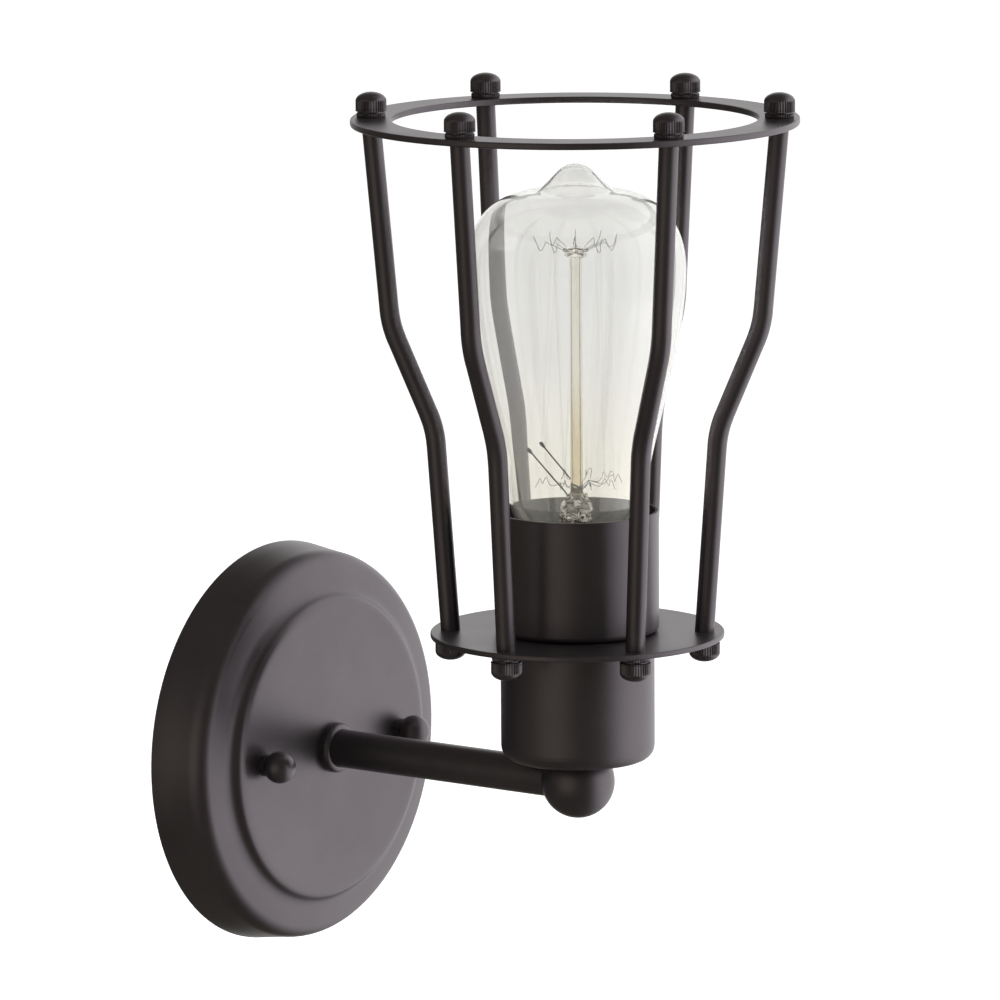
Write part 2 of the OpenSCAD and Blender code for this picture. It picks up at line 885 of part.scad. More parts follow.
module bulb_cap() {
    foot_r = cap_foot_r;
    shoulder_z = insulator_z + 2.4;
    color(brass)
        on_lamp(bulb_z)
            rotate_extrude()
                polygon([
                    [foot_r - contact_t, insulator_z], [foot_r, insulator_z],
                    [cap_d / 2, shoulder_z], [cap_d / 2, cap_h],
                    [cap_d / 2 - contact_t, cap_h], [cap_d / 2 - contact_t, shoulder_z + contact_t / 2],
                    [foot_r - contact_t, insulator_z + contact_t]
                ]);
}

module bulb_insulator() {
    inside = cap_foot_r - contact_t - fit;
    end_r = tip_r + 1;
    top = insulator_z + 2;
    color("#15130f")
        on_lamp(bulb_z)
            rotate_extrude()
                polygon([[0, tip_h], [end_r, tip_h], [inside, insulator_z], [inside, top], [0, top]]);
}

module bulb_tip() {
    flat_r = 2.6;
    color("#b8b4a8")
        on_lamp(bulb_z)
            rotate_extrude()
                polygon([[0, 0], [flat_r, 0], [0.9 * tip_r, tip_h / 2], [tip_r, tip_h], [0, tip_h]]);
}

// Flare, tube, pressed end and the rod that carries the upper hooks
stem_flare_r = throat_r - glass_t - part_gap;
stem_tube_r = 4.2;
stem_tube_l = 9;
press_h = cap_h + stem_tube_l;
press_l = 10;
press_t = 3.4;
press_root = 2;
press_top = press_h - press_root + press_l;
button_under_tip = 27.5;
button_r = 3.6;
button_t = 2.4;
button_h = bulb_l - button_under_tip;
hook_rise = 7;
lower_hook_h = press_top + 4.5;
lead_h = lower_hook_h + 9.5;
lead_side = 108;
filament_turn = 0.7;
filament_last = 2 * filament_loops - 1;
filament_low = lower_hook_h - filament_d;
filament_high = button_h + hook_rise + filament_d;

module bulb_stem() {
    rod_r = 1.5;
    flare_z = throat_h + 0.8;
    color([0.9, 0.88, 0.78, 0.6])
        on_lamp(bulb_z) {
            rotate_extrude()
                polygon(concat(
                    [[0, throat_h], [stem_flare_r, throat_h]],
                    wall_curve([[stem_flare_r, flare_z], [1.36 * stem_tube_r, flare_z + 1.2],
                                [stem_tube_r, flare_z + 4.2], [stem_tube_r, press_h]], 0, 6),
                    [[0.76 * stem_tube_r, press_h + 1.5], [rod_r, press_h + 2], [rod_r, button_h]],
                    arc([button_r - button_t / 2, button_h + button_t / 2], button_t / 2, -90, 90),
                    [[0, button_h + button_t]]
                ));
            translate([-stem_tube_r, -press_t / 2, press_h - press_root])
                cube([2 * stem_tube_r, press_t, press_l]);
        }
}

// Places what is inside the bulb, with the leads on one side
module in_bulb() {
    on_lamp(bulb_z)
        rotate([0, 0, lead_side])
            children();
}

// Hook wires stand out of the button above and out of the stem below
module filament_hooks() {
    button_out = button_r + part_gap;
    stem_out = 1.8;
    color("#3a3836")
        in_bulb() {
            for (j = [2:2:filament_last - 1])
                rotate([0, 0, filament_angle(j)])
                    hook_wire([button_out, button_h + button_t / 2], [filament_r, button_h + hook_rise]);
            for (j = [3:2:filament_last - 2])
                rotate([0, 0, filament_angle(j)])
                    hook_wire([stem_out, lower_hook_h - 2], [filament_r, lower_hook_h]);
        }
}

// A fine straight wire between two places given as radius and height
module hook_wire(a, b) {
    translate([a[0], 0, a[1]])
        rotate([0, 90 - way_deg(a, b), 0])
            cylinder(d = filament_d, h = norm(b - a), $fn = 16);
}

// The filament runs up and down between the hooks and turns round each of them
function filament_angle(j) = 180 / filament_loops * j;
function filament_point(a, side, z) =
    let (b = a + side * filament_turn / filament_r * 180 / PI)
    [filament_r * cos(b), filament_r * sin(b), z];
function filament_bend(j) =
    let (up = j % 2 == 0, z = up ? filament_high : filament_low, s = up ? 1 : -1)
    [for (t = [0:45:180]) filament_point(filament_angle(j), -cos(t), z + s * filament_turn * sin(t))];

module filament() {
    route = concat(
        [filament_point(filament_angle(1), 1, lead_h)],
        [for (j = [2:filament_last - 1]) each filament_bend(j)],
        [filament_point(filament_angle(filament_last), -1, lead_h)]
    );
    color("#8a7a55")
        in_bulb()
            wire_along(route, [for (p = route) [p[0], p[1], 0]], filament_d, 6);
}

// Two leads come out of the press and carry the ends of the filament
module filament_leads() {
    lead_d = 0.7;
    lead_out = 2.6;
    color("#2c2a2a")
        in_bulb()
            for (s = [-1, 1])
                lead_wire([lead_out, s, press_top + part_gap],
                          filament_point(s * filament_angle(1), s, lead_h - part_gap), lead_d);
}

module lead_wire(a, b, d) {
    v = b - a;
    translate(a)
        rotate([0, acos(v[2] / norm(v)), atan2(v[1], v[0])])
            cylinder(d = d, h = norm(v), $fn = 16);
}

wall_bracket();
box_screws();
mounting_studs();
stud_nuts();
ground_screw();
backplate();
ball_nut_left();
ball_nut_right();
arm_nipple();
arm_washer();
arm_nut();
arm_collar();
arm_tube();
elbow_ball();
cup_nipple();
socket_cup();
cup_nut();
cage_base_disc();
socket_sleeve();
clamp_ring();
cage_rod(1);  // cage_rod_1
cage_rod(2);  // cage_rod_2
cage_rod(3);  // cage_rod_3
cage_rod(4);  // cage_rod_4
cage_rod(5);  // cage_rod_5
cage_rod(6);  // cage_rod_6
cage_top_ring();
top_cap_nuts();
bottom_cap_nuts();
socket_cap();
socket_barrel();
screw_shell();
centre_contact();
terminal_screws();
hot_wire();
neutral_wire();
bulb_glass();
bulb_cap();
bulb_insulator();
bulb_tip();
bulb_stem();
filament_hooks();
filament();
filament_leads();
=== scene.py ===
# %% [markdown]
# # A wall light with an open cage of rods round one filament bulb
#
# The light hangs on a wall by a round pressed plate. A straight arm comes out of the plate, a ball
# turns it upwards, and a cup with a wider sleeve holds the lamp socket. Six bent rods stand between a
# small disc and a wide flat ring, and a clear pear-shaped bulb stands in the middle of them.
#
# The solid model is loaded first. It is the fixed frame: every length here is in metres, in the same
# axes as the solids, so a new piece is built straight in its place and nothing has to be fitted.

# %% Load the solid model
import math
import random

import bmesh
import bpy
from mathutils import Euler, Matrix, Vector, noise
from mathutils.geometry import interpolate_bezier


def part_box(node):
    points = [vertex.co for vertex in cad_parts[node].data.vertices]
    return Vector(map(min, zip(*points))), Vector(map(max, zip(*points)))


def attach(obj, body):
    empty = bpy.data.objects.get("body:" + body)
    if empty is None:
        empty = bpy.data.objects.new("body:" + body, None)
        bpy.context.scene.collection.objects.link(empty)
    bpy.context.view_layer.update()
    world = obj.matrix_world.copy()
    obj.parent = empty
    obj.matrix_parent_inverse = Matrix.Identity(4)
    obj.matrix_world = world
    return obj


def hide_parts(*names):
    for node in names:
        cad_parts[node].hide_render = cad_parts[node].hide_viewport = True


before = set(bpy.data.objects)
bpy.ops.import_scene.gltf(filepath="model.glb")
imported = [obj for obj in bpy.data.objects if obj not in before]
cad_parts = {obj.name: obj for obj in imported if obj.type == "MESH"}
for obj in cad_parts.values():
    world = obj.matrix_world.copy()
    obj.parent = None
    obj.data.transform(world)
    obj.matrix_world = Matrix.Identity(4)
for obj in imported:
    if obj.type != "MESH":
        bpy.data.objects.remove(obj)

MM = 0.001
FULL_TURN = 2 * math.pi
scene = bpy.context.scene
scene.view_settings.view_transform = "Standard"
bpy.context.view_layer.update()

# %% [markdown]
# ## Where things stand
#
# A few heights and widths are wanted again and again, such as the lamp's upright axis or the foot of
# the bulb. They could be typed in, but then a change of the solid model would leave the new pieces
# behind. So they are measured on the solids that they belong to.

# %% Measure the solids
def middle(node):
    low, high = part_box(node)
    return (low + high) / 2


def half_width(node):
    low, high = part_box(node)
    return (high.x - low.x) / 2


RODS_ROUND = 6
lamp_axis = middle("socket_cup").xy.to_3d()
bulb_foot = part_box("bulb_tip")[0].z
bulb_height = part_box("bulb_glass")[1].z - bulb_foot
bulb_middle = bulb_foot + bulb_height / 2
print("lamp axis in mm:", lamp_axis / MM, "bulb from", bulb_foot / MM, "height", bulb_height / MM)

# %% [markdown]
# ## The camera
#
# The photograph was taken from the front left, a little above the light, through a long lens. Such a
# view could be found by eye, but a fit of the ring, disc and plate outlines gives it to a pixel or two.
# The lens is given as a focal length against a sensor 36 mm wide, and a picture 1000 pixels wide.

# %% Place the camera
CAMERA_PLACE = Vector((-1.75573, -1.36176, 0.44348))
CAMERA_YAW = -53.961
CAMERA_PITCH = 9.477
CAMERA_ROLL = -0.374
SENSOR_WIDE = 36
PICTURE_PIXELS = 1000
FOCAL_PIXELS = 7493.5

lens = bpy.data.cameras.new("camera")
lens.sensor_width = SENSOR_WIDE
lens.lens = FOCAL_PIXELS * SENSOR_WIDE / PICTURE_PIXELS
lens.clip_start = 0.05
lens.clip_end = 60
camera = bpy.data.objects.new("camera", lens)
turn = Euler((math.radians(90 - CAMERA_PITCH), 0, math.radians(CAMERA_YAW))).to_matrix()
turn = turn @ Matrix.Rotation(math.radians(CAMERA_ROLL), 3, "Z")
camera.matrix_world = Matrix.Translation(CAMERA_PLACE) @ turn.to_4x4()
scene.collection.objects.link(camera)
scene.camera = camera
view_right = turn @ Vector((1, 0, 0))
view_back = turn @ Vector((0, 0, 1))
print("lens in mm:", round(lens.lens, 1), "distance:", round((CAMERA_PLACE - lamp_axis).length, 3))

# %% [markdown]
# ## Materials as a short language
#
# A material is a net of nodes, and a net written node by node is hard to read. Two small classes make
# it short. `Field` wraps one socket and lets it be added, multiplied or taken away like a number, and
# each sign adds the Math node that does it. `Finish` makes any other node from its type, its settings
# and the values of its sockets, and closes with the surface itself.

# %% Write node maths as plain expressions
class Field:
    """The value of one socket, ready for sums."""

    def __init__(self, finish, socket):
        self.finish = finish
        self.socket = socket

    def maths(self, operation, first, second):
        return self.finish.node("ShaderNodeMath", {"operation": operation}, {0: first, 1: second})

    def __add__(self, other):
        return self.maths("ADD", self, other)

    def __sub__(self, other):
        return self.maths("SUBTRACT", self, other)

    def __rsub__(self, other):
        return self.maths("SUBTRACT", other, self)

    def __mul__(self, other):
        return self.maths("MULTIPLY", self, other)

    __radd__ = __add__
    __rmul__ = __mul__


class Finish:
    """The nodes of one material or of the world."""

    def __init__(self, name, owner=None):
        self.material = owner or bpy.data.materials.new(name)
        self.material.use_nodes = True
        self.tree = self.material.node_tree
        self.tree.nodes.clear()

    def node(self, kind, settings=None, sockets=None, output=0):
        made = self.tree.nodes.new(kind)
        for name, value in (settings or {}).items():
            setattr(made, name, value)
        for name, value in (sockets or {}).items():
            if isinstance(value, Field):
                self.tree.links.new(value.socket, made.inputs[name])
            else:
                made.inputs[name].default_value = value
        return Field(self, made.outputs[output] if len(made.outputs) else None)

    def surface(self, sockets):
        shader = self.node("ShaderNodeBsdfPrincipled", None, sockets)
        self.node("ShaderNodeOutputMaterial", None, {"Surface": shader})
        return self.material


# %% [markdown]
# ## Patterns that the finishes share
#
# Real finishes are never one even colour: powder clouds a little, zinc blooms, glass draws in streaks.
# That comes from noise, read at the object's own coordinates, so that it stays on a piece that moves.
# The scale of a noise is the number of its lumps in a metre, so 2000 gives lumps of half a millimetre.

# %% Noise, ramps, mixes and bumps
def place_on(finish, stretch=(1, 1, 1)):
    place = finish.node("ShaderNodeTexCoord", output="Object")
    return finish.node("ShaderNodeMapping", None, {"Vector": place, "Scale": stretch})


def grain(finish, place, per_metre, detail=2.0, rough=0.5, warp=0.0):
    return finish.node("ShaderNodeTexNoise", None, {
        "Vector": place, "Scale": per_metre, "Detail": detail, "Roughness": rough, "Distortion": warp})


def spread(finish, value, low, high, to_low=0.0, to_high=1.0):
    return finish.node("ShaderNodeMapRange", {"interpolation_type": "SMOOTHSTEP"}, {
        "Value": value, "From Min": low, "From Max": high, "To Min": to_low, "To Max": to_high})


def blend_colours(finish, share, first, second):
    return finish.node("ShaderNodeMix", {"data_type": "RGBA"}, {0: share, 6: first, 7: second}, output=2)


def climb(finish, low, high):
    """Nothing below the low height, one above the high one."""
    up = finish.node("ShaderNodeSeparateXYZ", None, {0: place_on(finish)}, output="Z")
    return spread(finish, up, low, high)


def bump(finish, height, depth, strength=1.0):
    return finish.node("ShaderNodeBump", None, {"Height": height, "Distance": depth, "Strength": strength})


def colour(red, green, blue):
    return (red, green, blue, 1.0)


# %% [markdown]
# ## The dark bronze powder coat
#
# Plate, arm, cups, rods, ring and nuts all wear one dark bronze powder coat. It is full of metal
# flakes, so nearly all that it shows is a soft reflection: pale where it faces the bright side of the
# room, almost black where it faces the dim side. Close up it has a fine orange peel, it clouds very
# slightly, and it holds a few paler flakes.

# %% Dark bronze
BRONZE_DEEP = colour(0.128, 0.114, 0.123)
BRONZE_PALE = colour(0.146, 0.131, 0.141)
FLAKE = colour(0.34, 0.31, 0.32)
PEEL_DEPTH = 0.012 * MM


def bronze_coat():
    finish = Finish("dark_bronze_coat")
    place = place_on(finish)
    clouds = grain(finish, place, 38, 3, 0.55)
    peel = grain(finish, place, 1500, 2, 0.5)
    flakes = spread(finish, grain(finish, place, 5200, 1, 0.5), 0.66, 0.80)
    tone = blend_colours(finish, spread(finish, clouds, 0.3, 0.7), BRONZE_DEEP, BRONZE_PALE)
    tone = blend_colours(finish, flakes * 0.35, tone, FLAKE)
    return finish.surface({
        "Base Color": tone,
        "Metallic": 0.95,
        "Roughness": 0.32 + clouds * 0.12,
        "Normal": bump(finish, peel + flakes * 0.3, PEEL_DEPTH, 0.5),
    })


dark_bronze = bronze_coat()
print(dark_bronze.name, len(dark_bronze.node_tree.nodes), "nodes")

# %% [markdown]
# ## Plated and bare metals
#
# Behind the plate and in the socket there are other metals: bright zinc on strap, screws and nuts,
# brass in the socket and on the bulb's cap, dull solder on its tip, and dark and bare wires in the bulb.
# They differ in colour, in how far the plating has bloomed and in how fine the marks of rolling are, so
# one function serves them all. The last number of the zinc makes it a little less of a mirror.

# %% Zinc, brass, solder and wires
MARK_DEPTH = 0.01 * MM


def metal(name, plain, bloomed, roughness, bloom_scale, mark_scale, metallic=1.0):
    finish = Finish(name)
    place = place_on(finish)
    bloom = spread(finish, grain(finish, place, bloom_scale, 4, 0.6, 0.4), 0.35, 0.7)
    marks = grain(finish, place_on(finish, (1, 1, 6)), mark_scale, 3, 0.6)
    return finish.surface({
        "Base Color": blend_colours(finish, bloom, plain, bloomed),
        "Metallic": metallic,
        "Roughness": roughness + bloom * 0.12 + marks * 0.08,
        "Normal": bump(finish, marks, MARK_DEPTH, 0.4),
    })


zinc_steel = metal("zinc_plate", colour(0.74, 0.75, 0.76), colour(0.64, 0.64, 0.60), 0.24, 160, 1400, 0.75)
brass = metal("rolled_brass", colour(0.72, 0.53, 0.24), colour(0.60, 0.41, 0.17), 0.20, 120, 1600)
solder = metal("solder", colour(0.46, 0.46, 0.45), colour(0.36, 0.36, 0.35), 0.38, 500, 2500)
hook_steel = metal("hook_wire", colour(0.10, 0.09, 0.08), colour(0.06, 0.055, 0.05), 0.30, 900, 3000)
tungsten = metal("filament_wire", colour(0.62, 0.60, 0.55), colour(0.50, 0.47, 0.42), 0.35, 900, 3000)
print("metals:", [m.name for m in (zinc_steel, brass, solder, hook_steel, tungsten)])

# %% [markdown]
# ## Paint, moulded plastics and wire covering
#
# The earth screw is dyed green, the socket's two halves are brown-black phenolic, the clamping ring is
# ivory plastic, the wires are covered in black and white vinyl, and black glass insulates the bulb's
# tip. All of them are shiny and not metal. What sets them apart is colour, gloss and the faint flow
# marks of moulding.

# %% Green dye, phenolic, ivory, vinyl and black glass
FINE_PEEL = 0.01 * MM
SOFT_PEEL = 0.02 * MM


def moulded(name, plain, deeper, roughness, flow_scale, peel_depth=SOFT_PEEL):
    finish = Finish(name)
    place = place_on(finish)
    flow = grain(finish, place, flow_scale, 3, 0.5, 1.5)
    peel = grain(finish, place, 1800, 2, 0.5)
    return finish.surface({
        "Base Color": blend_colours(finish, spread(finish, flow, 0.35, 0.65), plain, deeper),
        "Roughness": roughness + flow * 0.12,
        "Normal": bump(finish, peel, peel_depth, 0.5),
    })


green_screw = moulded("green_dye", colour(0.05, 0.27, 0.09), colour(0.03, 0.19, 0.06), 0.26, 300, FINE_PEEL)
phenolic = moulded("phenolic", colour(0.020, 0.014, 0.011), colour(0.012, 0.009, 0.008), 0.22, 120)
ivory = moulded("ivory_plastic", colour(0.72, 0.68, 0.58), colour(0.66, 0.61, 0.50), 0.30, 90)
black_vinyl = moulded("black_vinyl", colour(0.016, 0.016, 0.018), colour(0.010, 0.010, 0.011), 0.38, 260)
white_vinyl = moulded("white_vinyl", colour(0.80, 0.79, 0.75), colour(0.74, 0.73, 0.68), 0.38, 260)
black_glass = moulded("black_glass", colour(0.010, 0.010, 0.012), colour(0.018, 0.015, 0.020), 0.05, 200,
                      FINE_PEEL)
print("moulded:", [m.name for m in (green_screw, phenolic, ivory, black_vinyl, white_vinyl, black_glass)])

# %% [markdown]
# ## Glass
#
# The bulb is clear, with a breath of grey that warms towards its neck. The rod up its middle is cream
# and turns tan low down, and the pressed end of the stem is crinkled, spotted with dark and silvered a
# little, so that it sparkles. Each is real glass that bends light. Glass is darkest at its rim, where
# one looks through the most of it, so the tint also deepens with the angle at which a face is seen.

# %% Clear, cream and crinkled glass
RIM_FROM = 0.84
RIM_FULL = 0.97
STREAK_SHARE = 0.07
LUMP_DEPTH = 0.6 * MM


def glass(name, upper, lower, rim, heights, streak_scale, haze=0.0, glint=0.5, silver=0.0, spots=None):
    """Glass with one tint above and one below, a dark rim and, where asked, a crinkled spotty face."""
    finish = Finish(name)
    drawn = grain(finish, place_on(finish, (1, 1, 0.08)), streak_scale, 3, 0.5)
    tint = blend_colours(finish, 1 - climb(finish, *heights), upper, lower)
    tint = blend_colours(finish, spread(finish, drawn, 0.4, 0.8, 0, STREAK_SHARE), tint, rim)
    edge_on = finish.node("ShaderNodeLayerWeight", output="Facing")
    tint = blend_colours(finish, spread(finish, edge_on, RIM_FROM, RIM_FULL), tint, rim)
    sockets = {"Roughness": drawn * 0.02, "Transmission Weight": 1.0 - haze, "IOR": 1.5,
               "Specular IOR Level": glint, "Metallic": silver}
    if spots:
        lumps = grain(finish, place_on(finish), 520, 3, 0.6, 1.5)
        tint = blend_colours(finish, spread(finish, lumps, 0.54, 0.62), tint, spots)
        sockets["Normal"] = bump(finish, lumps, LUMP_DEPTH, 1.0)
    sockets["Base Color"] = tint
    return finish.surface(sockets)


clear_glass = glass("bulb_glass_clear", colour(0.868, 0.866, 0.850), colour(0.876, 0.860, 0.806),
                    colour(0.14, 0.14, 0.09), (bulb_middle - 30 * MM, bulb_middle + 30 * MM), 90,
                    haze=0.045, glint=0.25)
cream_glass = glass("stem_glass_cream", colour(0.90, 0.87, 0.79), colour(0.78, 0.69, 0.50),
                    colour(0.34, 0.29, 0.20), (bulb_middle - 15 * MM, bulb_middle + 15 * MM), 400)
press_glass = glass("press_glass_crinkled", colour(0.99, 0.98, 0.96), colour(0.96, 0.93, 0.88),
                    colour(0.35, 0.30, 0.24), (bulb_foot, bulb_foot + 102 * MM), 420,
                    silver=0.8, spots=colour(0.10, 0.075, 0.055))
print("glass:", [m.name for m in (clear_glass, cream_glass, press_glass)])

# %% [markdown]
# ## Finish the solids
#
# Most solids already have the right shape, so they stay and only change their finish. A solid's faces
# keep the smooth shading that they were packed with. The list goes by what each piece is made of.

# %% Give the solids their finishes
RODS = ["cage_rod_%d" % number for number in range(1, RODS_ROUND + 1)]
FINISH_OF = {
    dark_bronze: ["backplate", "ball_nut_left", "ball_nut_right", "arm_collar", "arm_tube", "elbow_ball",
                  "socket_cup", "cage_base_disc", "socket_sleeve", "cage_top_ring", "top_cap_nuts",
                  "bottom_cap_nuts"] + RODS,
    zinc_steel: ["wall_bracket", "box_screws", "mounting_studs", "stud_nuts", "arm_nipple", "arm_washer",
                 "cup_nipple"],
    green_screw: ["ground_screw"],
    brass: ["arm_nut", "cup_nut", "screw_shell", "centre_contact", "terminal_screws", "bulb_cap"],
    ivory: ["clamp_ring"],
    phenolic: ["socket_cap", "socket_barrel"],
    black_vinyl: ["hot_wire"],
    white_vinyl: ["neutral_wire"],
    clear_glass: ["bulb_glass"],
    cream_glass: ["bulb_stem"],
    black_glass: ["bulb_insulator"],
    solder: ["bulb_tip"],
    hook_steel: ["filament_hooks", "filament_leads"],
    tungsten: ["filament"],
}
for material, nodes in FINISH_OF.items():
    for node in nodes:
        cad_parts[node].data.materials.clear()
        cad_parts[node].data.materials.append(material)
print("finished:", sum(len(nodes) for nodes in FINISH_OF.values()), "of", len(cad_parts))

# %% [markdown]
# ## Helpers for new pieces
#
# Three ways of making a shape cover nearly every new piece. A turned piece is an outline spun about an
# upright axis and then moved to its place. A wire is a small circle that is extruded from point to
# point and turned into each new direction. A thread is a turned piece whose skin is then pushed in
# along a helix. `show` closes the mesh, points its faces outwards, marks its sharp edges and hangs it
# on its body.

# %% Show a finished mesh as a piece
SHARP_ANGLE = math.radians(32)
WELD = 0.002 * MM


def show(name, mesh, materials, body, replaced=(), welded=True):
    """Makes a piece of the mesh that rides on a body and stands for the replaced solids."""
    if welded:
        bmesh.ops.remove_doubles(mesh, verts=mesh.verts, dist=WELD)
        bmesh.ops.recalc_face_normals(mesh, faces=mesh.faces)
    for face in mesh.faces:
        face.smooth = True
    data = bpy.data.meshes.new(name)
    mesh.to_mesh(data)
    mesh.free()
    data.set_sharp_from_angle(angle=SHARP_ANGLE)
    for material in materials:
        data.materials.append(material)
    piece = bpy.data.objects.new(name, data)
    scene.collection.objects.link(piece)
    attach(piece, body)
    if replaced:
        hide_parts(*replaced)
    print(name, "-", len(data.polygons), "faces")
    return piece


# %% Turn an outline about an upright axis
AT_POLE = 1e-7
FINE_STEPS = 128


def turned(mesh, outline, steps):
    """Spins an outline of (radius, height) about the Z axis and returns the new vertices."""
    old = set(mesh.verts)
    row = [mesh.verts.new((radius, 0, height)) for radius, height in outline]
    line = [mesh.edges.new(pair) for pair in zip(row, row[1:])]
    bmesh.ops.spin(mesh, geom=row + line, cent=(0, 0, 0), axis=(0, 0, 1), angle=FULL_TURN, steps=steps,
                   use_merge=True)
    poles = [vert for vert in mesh.verts if vert not in old and vert.co.xy.length < AT_POLE]
    bmesh.ops.remove_doubles(mesh, verts=poles, dist=AT_POLE)
    return [vert for vert in mesh.verts if vert not in old]


def move(mesh, verts, matrix):
    bmesh.ops.transform(mesh, matrix=matrix, verts=verts)


def curve(*points, steps=10):
    """Points of a curve that is pulled by its two middle points, all as (radius, height)."""
    knots = [Vector((radius, 0, height)) for radius, height in points]
    return [(point.x, point.z) for point in interpolate_bezier(*knots, steps + 1)]


def in_mm(outline):
    return [(radius * MM, height * MM) for radius, height in outline]


# %% Draw a wire through points
def wire(mesh, points, radius, sides=8):
    """Extrudes a circle along points, turning it into each new direction, and closes both ends."""
    ways = [(b - a).normalized() for a, b in zip(points, points[1:])]
    ways = [ways[0]] + [(a + b).normalized() for a, b in zip(ways, ways[1:])] + [ways[-1]]
    facing = ways[0].to_track_quat("Z", "Y").to_matrix()
    stand = Matrix.Translation(points[0]) @ facing.to_4x4()
    ring = bmesh.ops.create_circle(mesh, segments=sides, radius=radius, cap_ends=True, matrix=stand)["verts"]
    edges = list(dict.fromkeys(edge for vert in ring for edge in vert.link_edges))
    for point, last_way, way in zip(points[1:], ways, ways[1:]):
        grown = bmesh.ops.extrude_edge_only(mesh, edges=edges)["geom"]
        ring = [item for item in grown if isinstance(item, bmesh.types.BMVert)]
        edges = [item for item in grown if isinstance(item, bmesh.types.BMEdge)
                 and all(vert in ring for vert in item.verts)]
        facing = last_way.rotation_difference(way).to_matrix() @ facing
        goal = Matrix.Translation(point) @ facing.to_4x4()
        move(mesh, ring, goal @ stand.inverted())
        stand = goal
    bmesh.ops.contextual_create(mesh, geom=edges)


def rounded(points, steps=4):
    """Points along a smooth curve through the given ones."""
    ends = [points[0]] + points + [points[-1]]
    path = []
    for before, a, b, after in zip(ends, ends[1:], ends[2:], ends[3:]):
        path += interpolate_bezier(a, a + (b - before) / 6, b - (after - a) / 6, b, steps + 1)[:-1]
    return path + [points[-1]]


# %% Press a thread into a turned piece
def threaded(verts, outer_r, pitch, depth, low, high, inside_r=0.0):
    """Pushes the skin inwards along a helix between two heights, fading out at both ends."""
    for vert in verts:
        radius = vert.co.xy.length
        if radius > inside_r and low < vert.co.z < high:
            around = math.atan2(vert.co.y, vert.co.x) / FULL_TURN
            wave = 0.5 - 0.5 * math.cos(FULL_TURN * (vert.co.z / pitch - around))
            fade = min(1, (vert.co.z - low) / pitch, (high - vert.co.z) / pitch)
            vert.co.xy *= 1 - depth * wave * fade / outer_r


def rows(low, high, step):
    """Heights from low to high that lie at most a step apart."""
    count = math.ceil((high - low) / step)
    return [low + (high - low) * k / count for k in range(count + 1)]


# %% [markdown]
# ## The wall plate
#
# The plate is pressed from one sheet, so its steps have no sharp edges: a leaning wall rolls over into a
# full bead, sinks to a sloping ring and swings up in one soft step to the raised middle. The solid has
# the same rim and step with a plain slope and a crisper ridge. So its skin is drawn again as one
# outline of (radius, height), lying on its back, with full curves. The flat middle has closer rows
# where the studs stand, so that their holes come out round. The outline is spun, pierced, given the
# thickness of the sheet and then stood up against the wall plane.

# %% Draw the plate's outline and spin it
PLATE_SHEET = 1.2 * MM
PLATE_H = 22
PLATE_ROWS = (12, 20, 28, 30.4, 31.6, 32.8, 34.0, 35.2, 36.4, 39, 41.5)
STEP_CURVE = [(41.9, PLATE_H), (47.7, PLATE_H), (44.2, 19.75), (50.2, 18.6)]
BEAD_CURVE = [(54.66, 17.67), (56.9, 17.0), (58.62, 15.0), (58.72, 11.4)]
PLATE_RIM = [(59.6, 5.2), (60.325, 0.4), (60.325, 0)]
pipe_hole_r = half_width("arm_nipple") / MM + 0.1

plate_line = [(pipe_hole_r, PLATE_H)] + [(radius, PLATE_H) for radius in PLATE_ROWS]
plate_line += curve(*STEP_CURVE, steps=22) + curve(*BEAD_CURVE, steps=14) + PLATE_RIM
mesh = bmesh.new()
turned(mesh, in_mm(plate_line), FINE_STEPS)
print("plate outline:", len(plate_line), "points, bare skin:", len(mesh.faces), "faces")

# %% Pierce the plate for its studs and thicken it
STUD_R = 2.0828 * MM
STUD_HOLE_R = 2.35 * MM
CUT_OUT_R = 2.2 * MM
HOLE_EDGE_R = 4 * MM
stud_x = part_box("mounting_studs")[1].x - STUD_R
plate_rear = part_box("backplate")[1].y

for side in (-1, 1):
    stud = Vector((side * stud_x, 0))
    inside = [face for face in mesh.faces if (face.calc_center_median().xy - stud).length < CUT_OUT_R]
    bmesh.ops.delete(mesh, geom=inside, context="FACES")
    for vert in mesh.verts:
        if vert.is_boundary and (vert.co.xy - stud).length < HOLE_EDGE_R:
            vert.co.xy = stud + STUD_HOLE_R * (vert.co.xy - stud).normalized()
bmesh.ops.recalc_face_normals(mesh, faces=mesh.faces)
bmesh.ops.solidify(mesh, geom=mesh.faces[:], thickness=PLATE_SHEET)
move(mesh, mesh.verts[:], Matrix.Translation((0, plate_rear, 0)) @ Matrix.Rotation(FULL_TURN / 4, 4, "X"))
show("pressed_plate", mesh, [dark_bronze], "fixture", ["backplate"], welded=False)

# %% [markdown]
# ## Cap nuts
#
# Each end of a rod is held by a knurled cap nut: a foot, a groove, and a body with fine upright ribs
# that run out into its dome. The ribs could be cut one by one, but a turned outline with twice as many
# steps as ribs already has a vertex at each crest and each valley, so it is enough to pull every second
# one inwards.

